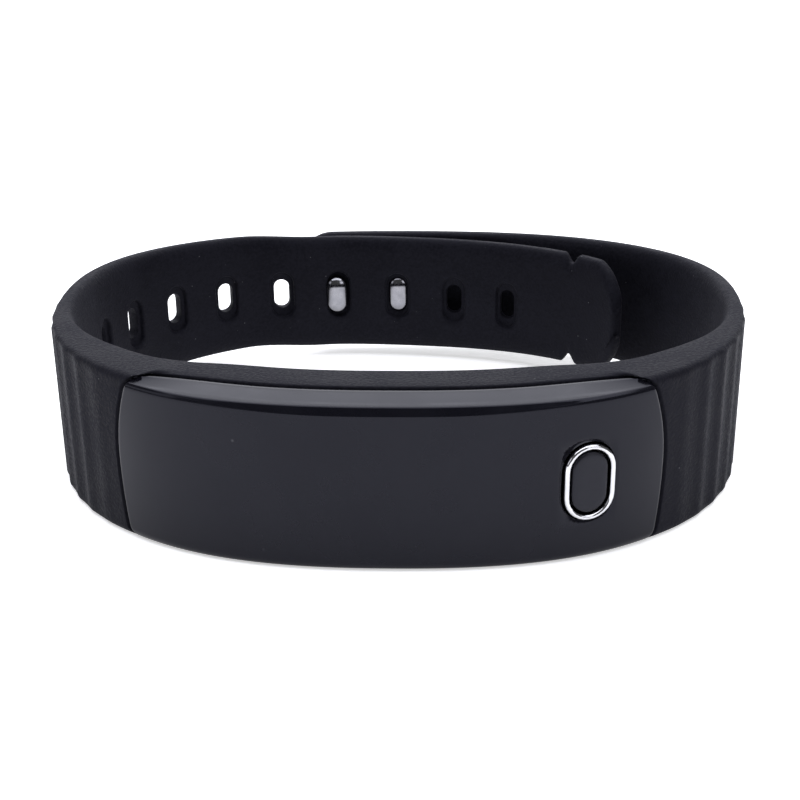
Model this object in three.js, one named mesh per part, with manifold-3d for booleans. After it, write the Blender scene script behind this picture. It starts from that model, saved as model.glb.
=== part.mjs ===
// A closed fitness tracker band that stands on its lower edge, with the display module in front and the
// two-peg clasp behind. Millimetres, +X to the wearer's right as seen from the front, +Y to the clasp,
// +Z up. The origin is the middle of the footprint, on the surface that the band stands on.
import * as THREE from 'three';
import { mergeVertices } from 'three/addons/utils/BufferGeometryUtils.js';
import Module from 'manifold-3d';

const wasm = await Module();
wasm.setup();

// Driving dimensions.
const halfWidth = 34.5; // of the loop, outside
const frontDepth = 30.6; // from the loop's widest line to the silicone's front
const rearDepth = 27; // from the widest line to the clasp
const frontPower = 2.46; // squareness of the front half of the loop
const rearPower = 2.42;
const coverProud = 0.75; // how far the front cover stands out at its middle
const middleY = (frontDepth + coverProud - rearDepth) / 2; // puts the footprint's middle at y = 0
const bandHeight = 16;
const rearTaper = 1.25; // how much each edge draws in towards the clasp
const strapThickness = 1.9;
const pocketDepth = 7.15; // silicone from front to back at the module
const pocketFrom = 12; // along the front, where the silicone starts to thin
const pocketTo = 51; // and where it is down to the strap's thickness
const skin = 1; // silicone left round the module
const edge = 0.4; // chamfer on the silicone's edges
const strapEdge = 0.3; // chamfer on the thinner outer strap
const gap = 0.3; // between bodies that turn on each other
const fit = 0.05; // between faces that lie on each other

const coverEnd = 25.75; // half the front cover's width, at mid-height
const coverDraw = { top: 1.9, bottom: 0.75 }; // how much less that is at its upper and lower corners
const coverCorner = 1.2;
const coverDepth = 2.5;
const coverEndDepth = 0.55; // depth of the cover's rear edge at its two ends
const coverSweep = 27.2; // along the front, where that edge and the bulge run out
const coverEdge = 0.3; // bevel on the cover's front edges
const coverSeat = 0.25; // between the cover and the silicone round it
const coverWall = 1;
const shellEnd = 20.8;
const shellEdge = 1.4; // from the band's edge to the shell and the gasket
const shellWall = 0.9;
const gasketDepth = 0.4;
const windowSize = { width: 9, height: 4.4 }; // for the charging contacts, in the silicone's back
const contactAt = 2.4; // each side of the middle
const buttonAt = 17.55; // along the front, from its middle to the button
const buttonHeight = 7.6;
const buttonOpening = { width: 5, height: 7.4 };
const ringOuter = { width: 4.8, height: 7.2 };
const ringInner = { width: 3.8, height: 6.2 };
const capSize = { width: 3.4, height: 5.8 };
const motorAt = -15.9; // along the front
const motorRadius = 3;
const boardDepth = 2.6; // from the loop's outline to the main board
const batteryAt = -6.5;

const holePitch = 7.1;
const pegMiddle = 5.1; // from the rear's middle, to the left, to the middle of the two pegs
const pegSpacing = 7.45;
const pegTurn = THREE.MathUtils.degToRad(3.5); // the pegs are parallel, square to their plate
const pegHeight = 7.8;
const pegHead = { width: 2.55, height: 4.5, depth: 1.15, end: 4.2, bevel: 0.3 };
const pegNeck = { width: 1.4, height: 3 };
const pegHole = { width: 3.1, height: 5 };
const plate = { width: 9.6, height: 6, depth: 0.4, from: 0.8 };
const holesBefore = 6; // holes on the wearing side of the first peg
const holesAfter = 2; // free holes past the second peg

const strapEnd = 13.3; // the outer strap ends this far left of the rear's middle
const strapDepth = 1.5; // its thickness over the clasp
const strapEndDepth = 0.9; // and at its end
const strapCorner = 4;
const tailEnd = 32.6; // the inner strap ends this far right of the rear's middle
const tailThickness = 1.7;
const tailStep = 1.8; // how far it steps in, to pass behind the outer strap
const tailLean = 3.6; // how much further in its tip is
const tailLeanFrom = -9; // where it starts to lean, right of the rear's middle
const notchAt = 22.4; // a small notch in each edge, before the tail's rounded tip
const notchWidth = 2.8;
const notchDepth = 1.1;
const tipLength = 7.8;
const tipPower = 2.1; // squareness of the tip
const linkHinge = 13; // flex lines of the outer strap, right of the rear's middle
const tabHinge = 4.5;
const tailHinge = 19.3; // flex line of the inner strap, left of the rear's middle

// The loop's outline seen from above: two half superellipses, run from the front's middle to the right.
class Loop extends THREE.Curve {
  getPoint(t, target = new THREE.Vector3()) {
    const angle = 2 * Math.PI * t - Math.PI / 2;
    const rear = Math.sin(angle) > 0;
    const power = 2 / (rear ? rearPower : frontPower);
    const round = (value) => Math.sign(value) * Math.abs(value) ** power;
    const depth = rear ? rearDepth : frontDepth;
    return target.set(halfWidth * round(Math.cos(angle)), depth * round(Math.sin(angle)), 0);
  }
}

const loop = new Loop();
loop.arcLengthDivisions = 6000;
const loopLength = loop.getLength();
const rearMiddle = loopLength / 2;

// Where the loop is at a distance s from the front's middle, positive to the right.
function station(s) {
  const u = THREE.MathUtils.euclideanModulo(s / loopLength, 1);
  const point = loop.getPointAt(u);
  const along = loop.getTangentAt(u);
  return { point, along, inward: new THREE.Vector3(-along.y, along.x, 0) };
}

function at(s, depth, z) {
  const { point, inward } = station(s);
  return new THREE.Vector3(point.x + depth * inward.x, point.y + depth * inward.y + middleY, z);
}

const smooth = (from, to, value) => THREE.MathUtils.smoothstep(value, from, to);

function range(from, to, step) {
  const count = Math.max(1, Math.round(Math.abs(to - from) / step));
  return Array.from({ length: count + 1 }, (_, i) => from + ((to - from) * i) / count);
}

// A closed solid swept along the loop. sectionAt(s) gives the section's corners as [depth, z].
function sweep(stations, sectionAt) {
  const positions = [];
  const index = [];
  const corners = sectionAt(stations[0]).length;
  for (const s of stations)
    for (const [depth, z] of sectionAt(s)) positions.push(...at(s, depth, z).toArray());
  for (let i = 0; i < stations.length - 1; i++) {
    for (let j = 0; j < corners; j++) {
      const a = i * corners + j;
      const b = i * corners + ((j + 1) % corners);
      index.push(a, b, a + corners, b, b + corners, a + corners);
    }
  }
  const last = (stations.length - 1) * corners;
  const outline = sectionAt(stations[0]).map(([depth, z]) => new THREE.Vector2(depth, z));
  for (const [a, b, c] of THREE.ShapeUtils.triangulateShape(outline, [])) {
    index.push(a, c, b);
    index.push(last + a, last + b, last + c);
  }
  const geometry = new THREE.BufferGeometry();
  geometry.setAttribute('position', new THREE.Float32BufferAttribute(positions, 3));
  geometry.setIndex(index);
  return geometry;
}

// A strap's section: a slab between two depths, with its four long edges broken.
function slab(outer, inner, bottom, top, cut = edge) {
  return [
    [outer + cut, bottom],
    [inner - cut, bottom],
    [inner, bottom + cut],
    [inner, top - cut],
    [inner - cut, top],
    [outer + cut, top],
    [outer, top - cut],
    [outer, bottom + cut],
  ];
}

function block(outer, inner, bottom, top) {
  return [[outer, bottom], [inner, bottom], [inner, top], [outer, top]];
}

// Boolean work, on geometries or on earlier results.
function solid(shape) {
  if (!shape.isBufferGeometry) return shape;
  const plain = shape.index ? shape.toNonIndexed() : shape.clone();
  plain.deleteAttribute('normal');
  plain.deleteAttribute('uv');
  const merged = mergeVertices(plain, 1e-4);
  const vertProperties = new Float32Array(merged.attributes.position.array);
  const triVerts = new Uint32Array(merged.index.array);
  return new wasm.Manifold(new wasm.Mesh({ numProp: 3, vertProperties, triVerts }));
}

function carve(shape, ...tools) {
  return tools.reduce((left, tool) => left.subtract(solid(tool)), solid(shape));
}

function join(first, ...others) {
  return others.reduce((whole, piece) => whole.add(solid(piece)), solid(first));
}

function common(first, second) {
  return solid(first).intersect(solid(second));
}

// Short edges that a boolean leaves are dropped on the way back to three.js.
function geometryOf(shape) {
  if (shape.isBufferGeometry) return shape;
  const mesh = shape.simplify(0.004).getMesh();
  const geometry = new THREE.BufferGeometry();
  geometry.setAttribute('position', new THREE.Float32BufferAttribute(mesh.vertProperties, 3));
  geometry.setIndex(Array.from(mesh.triVerts));
  const flat = geometry.toNonIndexed();
  flat.computeVertexNormals();
  return flat;
}

// A stadium standing upright, extruded along its own z, which place() turns inward.
function stadium(width, height, depth, bevel = 0) {
  const radius = width / 2;
  const straight = height / 2 - radius;
  const shape = new THREE.Shape();
  shape.absarc(0, straight, radius, 0, Math.PI);
  shape.absarc(0, -straight, radius, Math.PI, 2 * Math.PI);
  const options = { depth: depth - bevel, curveSegments: 8, bevelEnabled: bevel > 0, steps: 1 };
  Object.assign(options, { bevelThickness: bevel, bevelSize: bevel, bevelOffset: -bevel, bevelSegments: 2 });
  return new THREE.ExtrudeGeometry(shape, options);
}

// Turns a piece whose own axes are x along the band, y up and z inward, and sets it at a depth.
function place(geometry, s, depth, z) {
  const { point, along, inward } = station(s);
  const basis = new THREE.Matrix4().makeBasis(along.negate(), new THREE.Vector3(0, 0, 1), inward);
  basis.setPosition(point.x + depth * inward.x, point.y + depth * inward.y + middleY, z);
  return geometry.applyMatrix4(basis);
}

function boxPart(length, height, depth, s, from, z) {
  return place(new THREE.BoxGeometry(length, height, depth), s, from + depth / 2, z);
}

// A cylinder whose axis runs inward.
function roundPart(radius, depth, s, from, z, segments = 24) {
  const cylinder = new THREE.CylinderGeometry(radius, radius, depth, segments).rotateX(Math.PI / 2);
  return place(cylinder, s, from + depth / 2, z);
}

// The band's outline from the side, front and rear.
function edgeInset(s) {
  const { point } = station(s);
  return rearTaper * Math.max(0, point.y / rearDepth);
}

// How deep the silicone is behind the loop's outline: thick at the module, thin at the strap.
function backDepth(s) {
  return THREE.MathUtils.lerp(pocketDepth, strapThickness, smooth(pocketFrom, pocketTo, Math.abs(s)));
}

// The front cover's rear edge comes forward at its ends.
function coverRear(s) {
  return THREE.MathUtils.lerp(coverDepth, coverEndDepth, smooth(18.5, coverSweep, Math.abs(s)));
}

function coverShift(s) {
  return -coverProud * Math.max(0, 1 - (s / coverSweep) ** 2);
}

function bandSection(s) {
  const inset = edgeInset(s);
  return slab(0, backDepth(s), inset, bandHeight - inset);
}

// The front cover's outline seen from the front, grown by a margin.
function coverOutline(margin) {
  const end = coverEnd + margin;
  const corner = coverCorner;
  const top = bandHeight + 1;
  const low = -1;
  const bulgeAt = (z) => {
    const fromMiddle = 2 * z / bandHeight - 1;
    return end - (fromMiddle > 0 ? coverDraw.top : coverDraw.bottom) * fromMiddle ** 2;
  };
  const shape = new THREE.Shape();
  shape.moveTo(-bulgeAt(0) + corner, low);
  shape.lineTo(bulgeAt(0) - corner, low);
  shape.lineTo(bulgeAt(0) - corner, 0);
  for (const z of range(corner, bandHeight - corner, 1.7)) shape.lineTo(bulgeAt(z), z);
  shape.lineTo(bulgeAt(bandHeight) - corner, bandHeight);
  shape.lineTo(bulgeAt(bandHeight) - corner, top);
  shape.lineTo(-bulgeAt(bandHeight) + corner, top);
  shape.lineTo(-bulgeAt(bandHeight) + corner, bandHeight);
  for (const z of range(bandHeight - corner, corner, 1.7)) shape.lineTo(-bulgeAt(z), z);
  shape.lineTo(-bulgeAt(0) + corner, 0);
  const outline = new THREE.ExtrudeGeometry(shape, { depth: 20, bevelEnabled: false, steps: 1 });
  return outline.rotateX(Math.PI / 2).translate(0, -15, 0);
}

// Flex lines. The strap is one moulding that bends here, so each is a knuckle with the gap round it.
function knuckle(s, depth, radius, height, z) {
  const cylinder = new THREE.CylinderGeometry(radius, radius, height, 28).rotateX(Math.PI / 2);
  const centre = at(s, depth, z);
  return cylinder.translate(centre.x, centre.y, centre.z);
}

const linkAt = rearMiddle - linkHinge;
const tabAt = rearMiddle - tabHinge;
const tailAt = -(rearMiddle - tailHinge);

// The outer strap, on the right of the band: p is the distance right of the rear's middle. It is as
// thick as the band at the side, thinner over the clasp and thinnest at its end.
function outerDepth(p) {
  const overClasp = THREE.MathUtils.lerp(strapEndDepth, strapDepth, smooth(-strapEnd, -10, p));
  return overClasp + (strapThickness - strapDepth) * smooth(3, 20, p);
}

function outerSection(s) {
  const p = rearMiddle - s;
  const inset = edgeInset(s);
  const past = Math.max(0, strapCorner - (p + strapEnd)) / strapCorner;
  const draw = strapCorner * (1 - Math.sqrt(Math.max(0, 1 - past * past)));
  return slab(0, outerDepth(p), inset + draw, bandHeight - inset - draw, strapEdge);
}

// The inner strap, or tail, on the left: it steps in behind the outer strap and leans away from it.
function tailDepth(p) {
  const lean = Math.max(0, (p - tailLeanFrom) / 33) ** 1.15; // 33 mm on, close to the tip, it is all there
  return tailStep * smooth(-20.5, -11.5, p) + tailLean * lean;
}

function tailHalfHeight(p) {
  const past = Math.min(0.985, Math.max(0, p - (tailEnd - tipLength)) / tipLength);
  const half = bandHeight / 2 - rearTaper - 0.2 * smooth(tailLeanFrom, tailEnd, p);
  const round = Math.min(half, half * Math.sqrt(1 - past ** tipPower) + 0.35);
  const fromNotch = Math.min(0.5, Math.abs(p - notchAt) / notchWidth);
  return round - notchDepth * Math.cos(fromNotch * Math.PI) ** 2;
}

// The row of holes sinks a little towards the tip.
function holeMiddle(p) {
  return bandHeight / 2 - 0.15 - 0.5 * smooth(tailLeanFrom, 14, p);
}

function tailSection(s) {
  const p = -s - rearMiddle;
  const outer = tailDepth(p);
  const half = tailHalfHeight(p);
  return slab(outer, outer + tailThickness, bandHeight / 2 - half, bandHeight / 2 + half);
}

const holePositions = [];
for (let k = -holesBefore + 1; k < 2 + holesAfter; k++)
  holePositions.push(-pegMiddle - pegSpacing / 2 + (k > 0 ? pegSpacing - holePitch : 0) + k * holePitch);

function holeTool(p) {
  const worn = Math.abs(p + pegMiddle) < pegSpacing;
  const tool = stadium(pegHole.width, pegHole.height, 6);
  if (worn) return pegPlace(tool, p + pegMiddle, 0.9, holeMiddle(p));
  return place(tool, -(rearMiddle + p), tailDepth(p) - 2, holeMiddle(p));
}

// The pegs' own frame: along is measured from the middle of the two pegs, to the right.
function pegPlace(geometry, along, depth, z) {
  const middle = station(rearMiddle + pegMiddle);
  const x = new THREE.Vector3(Math.cos(pegTurn), Math.sin(pegTurn), 0);
  const inward = new THREE.Vector3(x.y, -x.x, 0);
  const basis = new THREE.Matrix4().makeBasis(x, new THREE.Vector3(0, 0, 1), inward);
  const start = middle.point.clone().addScaledVector(x, along).addScaledVector(inward, depth);
  basis.setPosition(start.x, start.y + middleY, z);
  return geometry.applyMatrix4(basis);
}

const screwPlaces = [[-19.1, 3], [-19.1, 13], [19.1, 3], [19.1, 13]]; // along the front, and z

// Materials.
function finish(color, roughness, metalness = 0) {
  return new THREE.MeshStandardMaterial({ color, roughness, metalness });
}

const silicone = finish(0x222226, 0.75);
const gloss = finish(0x0c0c10, 0.12);
const satin = finish(0x1b1b20, 0.35);
const chrome = finish(0xd8d8dc, 0.08, 1);
const housing = finish(0x18181b, 0.6);
const board = finish(0x0d4a2c, 0.5);
const chip = finish(0x141416, 0.45);
const foil = finish(0x9da2a8, 0.4);
const steel = finish(0xa8abb0, 0.3, 1);
const gold = finish(0xd6b25a, 0.25, 1);
const seal = finish(0x303236, 0.8);
const screen = finish(0x08090d, 0.2);

const band = new THREE.Group();

function add(name, shape, material) {
  const mesh = new THREE.Mesh(geometryOf(shape), material);
  mesh.name = name;
  band.add(mesh);
}

// Silicone band: sleeve and both sides, up to the flex lines.
function siliconeBand() {
  const stations = range(tailAt, linkAt, 2.1);
  const leftDepth = strapThickness / 2;
  const rightDepth = outerDepth(linkHinge) / 2;
  const body = sweep(stations, (s) => (s > rearMiddle * 0.6 ? sideSection(s) : bandSection(s)));
  const pocket = sweep(range(-shellEnd - gap, shellEnd + gap, 1.85), (s) =>
    block(1, backDepth(s) - skin, shellEdge - 0.2, bandHeight - shellEdge + 0.2));
  const front = common(
    sweep(range(-28, 28, 1.87), (s) => block(-2, coverRear(s) + coverSeat, -2, bandHeight + 2)),
    coverOutline(coverSeat));
  const window = place(stadium(windowSize.height, windowSize.width, 6).rotateZ(Math.PI / 2),
    0, pocketDepth - 3, bandHeight / 2);
  const holes = holePositions.filter((p) => p < -tailHinge).map(holeTool);
  const left = edgeInset(tailAt);
  const right = edgeInset(linkAt);
  const withKnuckles = join(body,
    knuckle(tailAt, leftDepth, leftDepth, bandHeight - 2 * left, bandHeight / 2),
    knuckle(linkAt, rightDepth, rightDepth, bandHeight - 2 * right, bandHeight / 2));
  return carve(withKnuckles, front, pocket, window, ...holes);
}

// Past the right side the strap thins to the outer strap's own depth.
function sideSection(s) {
  const inset = edgeInset(s);
  const p = rearMiddle - s;
  const cut = THREE.MathUtils.lerp(strapEdge, edge, smooth(linkHinge, 30, p));
  return slab(0, outerDepth(p), inset, bandHeight - inset, cut);
}

function pegLink() {
  const depth = outerDepth(tabHinge) / 2;
  const clear = outerDepth(linkHinge) / 2;
  const body = sweep(range(linkAt, tabAt, 1.7), outerSection);
  const knob = knuckle(tabAt, depth, depth, bandHeight - 2 * edgeInset(tabAt), bandHeight / 2);
  return carve(join(body, knob), knuckle(linkAt, clear, clear + gap, bandHeight + 2, bandHeight / 2));
}

function pegTab() {
  const depth = outerDepth(tabHinge) / 2;
  const straight = range(tabAt, rearMiddle + strapEnd - strapCorner, 1.75);
  const rounded = [3, 2.2, 1.5, 0.9, 0.45, 0.15, 0.02].map((left) => rearMiddle + strapEnd - left);
  const body = sweep([...straight, ...rounded], outerSection);
  const recess = new THREE.BoxGeometry(plate.width + 0.2, plate.height + 0.2, 2).translate(0, 0, 1);
  return carve(body, knuckle(tabAt, depth, depth + gap, bandHeight + 2, bandHeight / 2),
    pegPlace(recess, 0, plate.from - fit, pegHeight));
}

function tail() {
  const notchStart = rearMiddle + notchAt - notchWidth / 2;
  const before = range(tailAt, -notchStart, 1.7);
  const tip = range(-notchStart - 0.35, -(rearMiddle + tailEnd - 0.05), 0.37);
  const order = [...before, ...tip].reverse();
  const body = sweep(order, tailSection);
  const depth = strapThickness / 2;
  const holes = holePositions.filter((p) => p > -tailHinge).map(holeTool);
  return carve(body, knuckle(tailAt, depth, depth + gap, bandHeight + 2, bandHeight / 2), ...holes);
}

// Clasp: a plate in the outer strap's inner face, and two pegs that stand on it.
function claspPlate() {
  const sheet = new THREE.BoxGeometry(plate.width, plate.height, plate.depth);
  return pegPlace(sheet, 0, plate.from + plate.depth / 2, pegHeight);
}

function peg(along) {
  const foot = plate.from + plate.depth;
  const start = pegHead.end - pegHead.depth;
  const head = stadium(pegHead.width, pegHead.height, pegHead.depth - pegHead.bevel, pegHead.bevel);
  const neck = stadium(pegNeck.width, pegNeck.height, start - foot);
  return join(
    pegPlace(head, along, start + pegHead.bevel, pegHeight), pegPlace(neck, along, foot + fit, pegHeight));
}

// Front cover: a shell with a rail round its top and bottom edges, and the button's opening.
function frontCover() {
  const face = range(-27.2, 27.2, 1.8);
  const outer = sweep(face, (s) => {
    const shift = coverShift(s);
    return [
      [coverRear(s), 0.15], [coverRear(s), bandHeight - 0.15], [shift + coverEdge, bandHeight - 0.4],
      [shift, bandHeight - 1.4], [shift, 1.4], [shift + coverEdge, 0.4],
    ];
  });
  const cavity = sweep(range(-shellEnd + 0.6, shellEnd - 0.6, 1.78), (s) =>
    block(coverShift(s) + coverWall, coverDepth + 1, 2.2, bandHeight - 2.2));
  const opening = place(stadium(buttonOpening.width, buttonOpening.height, 6), buttonAt, -3, buttonHeight);
  const bosses = screwPlaces.map(([s, z]) => roundPart(0.95, coverDepth - 0.3, s, 0.3, z, 20));
  const bores = screwPlaces.map(([s, z]) => roundPart(0.5, 2.6, s, 1, z, 16));
  return carve(join(carve(common(outer, coverOutline(0)), cavity), ...bosses), opening, ...bores);
}

function rearShell() {
  const span = (end) => range(-end, end, 1.83);
  const back = (s) => backDepth(s) - skin - 0.15;
  const outer = sweep(span(shellEnd), (s) =>
    block(coverDepth + gasketDepth, back(s), shellEdge, bandHeight - shellEdge));
  const cavity = sweep(span(shellEnd - shellWall), (s) =>
    block(1, back(s) - 0.85, shellEdge + 0.8, bandHeight - shellEdge - 0.8));
  const bores = screwPlaces.map(([s, z]) => roundPart(0.55, 6, s, 2, z, 16));
  const seats = screwPlaces.map(([s, z]) => roundPart(1.15, 2, s, backDepth(s) - 1.65, z, 20));
  const contacts = [-contactAt, contactAt].map((s) =>
    roundPart(1.05, 4, s, pocketDepth - 3, bandHeight / 2, 20));
  return carve(outer, cavity, ...bores, ...seats, ...contacts);
}

function caseGasket() {
  const ring = (end, low) => sweep(range(-end, end, 1.83), () =>
    block(coverDepth + fit, coverDepth + gasketDepth - fit, low, bandHeight - low));
  const width = 0.7;
  const inner = sweep(range(-shellEnd + width, shellEnd - width, 1.83), () =>
    block(coverDepth - 1, coverDepth + 2, shellEdge + width, bandHeight - shellEdge - width));
  return carve(ring(shellEnd, shellEdge), inner);
}

// A screw with a flat head, sunk in the rear shell's back wall.
function caseScrew(s, z) {
  const seat = backDepth(s) - 1.65;
  const head = roundPart(1, 0.4, s, seat + fit, z, 20);
  const shank = roundPart(0.42, seat - 1, s, 1.2 + fit, z, 16);
  return join(head, shank);
}

// Button: ring in the cover, cap that slides in it, and the switch behind.
function buttonRing() {
  const outer = place(stadium(ringOuter.width, ringOuter.height, 1.7, 0.25), buttonAt, -0.65, buttonHeight);
  return carve(outer, place(stadium(ringInner.width, ringInner.height, 6), buttonAt, -3, buttonHeight));
}

function buttonCap() {
  const cap = place(stadium(capSize.width, capSize.height, 1.3, 0.3), buttonAt, -0.5, buttonHeight);
  const stem = roundPart(0.9, 0.9, buttonAt, 0.6, buttonHeight);
  return join(cap, stem);
}

function buttonSeal() {
  const outer = place(stadium(ringOuter.width, ringOuter.height, 0.5), buttonAt, 1.2, buttonHeight);
  return carve(outer, place(stadium(2.8, 5.2, 3), buttonAt, 0, buttonHeight));
}

function switchBody() {
  const body = boxPart(3.6, 4.6, 1.1, buttonAt, 2.15, buttonHeight);
  return carve(body, roundPart(1, 1.4, buttonAt, 1.6, buttonHeight));
}

// Vibration motor: a coin can, its base with the spindle, and the half-disc weight that spins.
function motorCan() {
  const can = roundPart(motorRadius, 2, motorAt, 1.7, bandHeight / 2, 32);
  return carve(can, roundPart(motorRadius - 0.3, 2, motorAt, 2, bandHeight / 2, 32));
}

function motorBase() {
  const disc = roundPart(motorRadius, 0.25, motorAt, 3.75, bandHeight / 2, 32);
  return join(disc, roundPart(0.3, 1.5, motorAt, 2.3, bandHeight / 2, 16));
}

function motorWeight() {
  const shape = new THREE.Shape();
  shape.absarc(0, 0, 2.4, 0, Math.PI);
  shape.absarc(0, 0, 0.9, Math.PI, 2 * Math.PI);
  const options = { depth: 1, curveSegments: 16, bevelEnabled: false, steps: 1 };
  const half = place(new THREE.ExtrudeGeometry(shape, options), motorAt, 2.4, bandHeight / 2);
  return carve(half, roundPart(0.5, 3, motorAt, 1.5, bandHeight / 2, 16));
}

add('silicone_band', siliconeBand(), silicone);
add('peg_strap_link', pegLink(), silicone);
add('peg_strap_end', pegTab(), silicone);
add('tail_strap', tail(), silicone);
add('clasp_plate', claspPlate(), steel);
add('peg_left', peg(-pegSpacing / 2), chrome);
add('peg_right', peg(pegSpacing / 2), chrome);
add('front_cover', frontCover(), gloss);
add('case_gasket', caseGasket(), seal);
add('rear_shell', rearShell(), housing);
screwPlaces.forEach(([s, z], i) => add(`case_screw_${i + 1}`, caseScrew(s, z), steel));
add('button_ring', buttonRing(), chrome);
add('button_cap', buttonCap(), satin);
add('button_seal', buttonSeal(), seal);
add('switch_body', switchBody(), chip);
add('switch_plunger', roundPart(0.8, 0.8, buttonAt, 1.55, buttonHeight), foil);
add('button_board', boxPart(3.5, 7.4, 0.5, buttonAt, 3.3, bandHeight / 2), board);
add('display_panel', sweep(range(-12.5, 12.5, 1.79), () => block(1.2, 1.9, 3, 13)), screen);
add('main_board', boxPart(13.5, 10, 0.6, 6, boardDepth, bandHeight / 2), board);
add('processor', boxPart(5, 5, 0.7, 3, boardDepth + 0.7, 6), chip);
add('radio_module', boxPart(4, 4.4, 0.8, 9.6, boardDepth + 0.85, 5.6), foil);
add('motion_sensor', boxPart(2.5, 2.5, 0.7, 2.4, boardDepth + 0.7, 11), chip);
add('power_chip', boxPart(2.2, 2.2, 0.6, 7.4, boardDepth + 0.7, 10.8), chip);
add('battery', boxPart(10.2, 10.4, 1.9, batteryAt, 2.3, bandHeight / 2), foil);
add('battery_pad', boxPart(9, 9, 0.35, batteryAt, 4.3, bandHeight / 2), seal);
add('antenna', sweep(range(-12, 12, 1.85), () => block(2.2, 3.4, 13.2, 13.5)), gold);
add('motor_can', motorCan(), steel);
add('motor_base', motorBase(), steel);
add('motor_weight', motorWeight(), steel);
[-contactAt, contactAt].forEach((s, i) =>
  add(`charge_contact_${i + 1}`, roundPart(0.9, 1.1, s, pocketDepth - 2.3, bandHeight / 2, 24), gold));

export default band;
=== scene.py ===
import bmesh
import bpy
import math
import numpy as np
from mathutils import Matrix, Vector


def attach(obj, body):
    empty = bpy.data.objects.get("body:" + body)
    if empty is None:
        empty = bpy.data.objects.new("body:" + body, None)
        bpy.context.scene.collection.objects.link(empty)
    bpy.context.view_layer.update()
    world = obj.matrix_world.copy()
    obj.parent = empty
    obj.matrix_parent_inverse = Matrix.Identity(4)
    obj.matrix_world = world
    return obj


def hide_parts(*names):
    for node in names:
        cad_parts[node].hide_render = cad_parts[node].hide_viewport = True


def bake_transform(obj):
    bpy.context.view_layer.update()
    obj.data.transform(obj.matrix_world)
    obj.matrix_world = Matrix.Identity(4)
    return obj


# Fitness tracker band, closed and standing on its lower edge. Sizes in the dictionaries are in
# millimetres, measured along the loop (s, from the front's middle, plus to the right), inward from
# the loop's outline (depth) and up (z). p is the distance past the middle of the clasp side.

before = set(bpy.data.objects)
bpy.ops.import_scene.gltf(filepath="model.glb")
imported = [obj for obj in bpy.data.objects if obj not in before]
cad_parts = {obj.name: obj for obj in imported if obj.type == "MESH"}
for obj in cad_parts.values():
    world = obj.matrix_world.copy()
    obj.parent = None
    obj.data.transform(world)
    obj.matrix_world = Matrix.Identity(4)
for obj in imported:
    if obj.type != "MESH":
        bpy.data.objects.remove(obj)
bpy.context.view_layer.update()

loop = {
    "halfWidth": 34.5,
    "frontDepth": 30.6,
    "rearDepth": 27.0,
    "frontPower": 2.46,   # squareness of the front half
    "rearPower": 2.42,
    "middleY": 2.175,
    "height": 16.0,
    "rearTaper": 1.25,    # how much the edges draw in towards the clasp
}


def smooth(low, high, value):
    t = np.clip((np.asarray(value, float) - low) / (high - low), 0.0, 1.0)
    return t * t * (3.0 - 2.0 * t)


def lerp(a, b, t):
    return a + (b - a) * t


def outlineTable(count=24000):
    angle = np.linspace(0.0, 2.0 * math.pi, count + 1) - math.pi / 2
    rear = np.sin(angle) > 0
    power = np.where(rear, 2.0 / loop["rearPower"], 2.0 / loop["frontPower"])
    depth = np.where(rear, loop["rearDepth"], loop["frontDepth"])
    x = loop["halfWidth"] * np.sign(np.cos(angle)) * np.abs(np.cos(angle)) ** power
    y = depth * np.sign(np.sin(angle)) * np.abs(np.sin(angle)) ** power
    run = np.concatenate([[0.0], np.cumsum(np.hypot(np.diff(x), np.diff(y)))])
    return run, x, y


runTable, xTable, yTable = outlineTable()
loopLength = runTable[-1]
rearMiddle = loopLength / 2
midHeight = loop["height"] / 2


def outlinePoint(s):
    u = np.mod(s, loopLength)
    return np.interp(u, runTable, xTable), np.interp(u, runTable, yTable)


def station(s):
    s = np.asarray(s, float)
    x, y = outlinePoint(s)
    x0, y0 = outlinePoint(s - 0.06)
    x1, y1 = outlinePoint(s + 0.06)
    length = np.hypot(x1 - x0, y1 - y0)
    return x, y, (x1 - x0) / length, (y1 - y0) / length


def at(s, depth, z):
    # a place on the band, in metres
    x, y, tx, ty = station(s)
    return np.stack([x - ty * depth, y + tx * depth + loop["middleY"], z + 0 * x], -1) * 0.001


def edgeInset(s):
    return loop["rearTaper"] * np.maximum(0.0, outlinePoint(s)[1] / loop["rearDepth"])


# node helpers
def newTree(name, kind):
    return bpy.data.node_groups.new(name, kind)


def put(tree, kind, **settings):
    node = tree.nodes.new(kind)
    for key, value in settings.items():
        if key == "inputs":
            for socket, amount in value.items():
                node.inputs[socket].default_value = amount
        else:
            setattr(node, key, value)
    return node


def wire(tree, source, target):
    tree.links.new(source, target)


def mathNode(tree, operation, a, b=None, clamp=False):
    node = put(tree, "ShaderNodeMath", operation=operation, use_clamp=clamp)
    for i, value in enumerate((a, b)):
        if value is None:
            continue
        if isinstance(value, (int, float)):
            node.inputs[i].default_value = value
        else:
            wire(tree, value, node.inputs[i])
    return node.outputs[0]


def spread(tree, value, fromLow, fromHigh, toLow, toHigh):
    node = put(tree, "ShaderNodeMapRange", clamp=True)
    wire(tree, value, node.inputs["Value"])
    ends = {"From Min": fromLow, "From Max": fromHigh, "To Min": toLow, "To Max": toHigh}
    for name, amount in ends.items():
        if isinstance(amount, (int, float)):
            node.inputs[name].default_value = amount
        else:
            wire(tree, amount, node.inputs[name])
    return node.outputs["Result"]


def socket(tree, name, way, kind, value=None):
    item = tree.interface.new_socket(name=name, in_out=way, socket_type=kind)
    if value is not None:
        item.default_value = value
    return item


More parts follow.
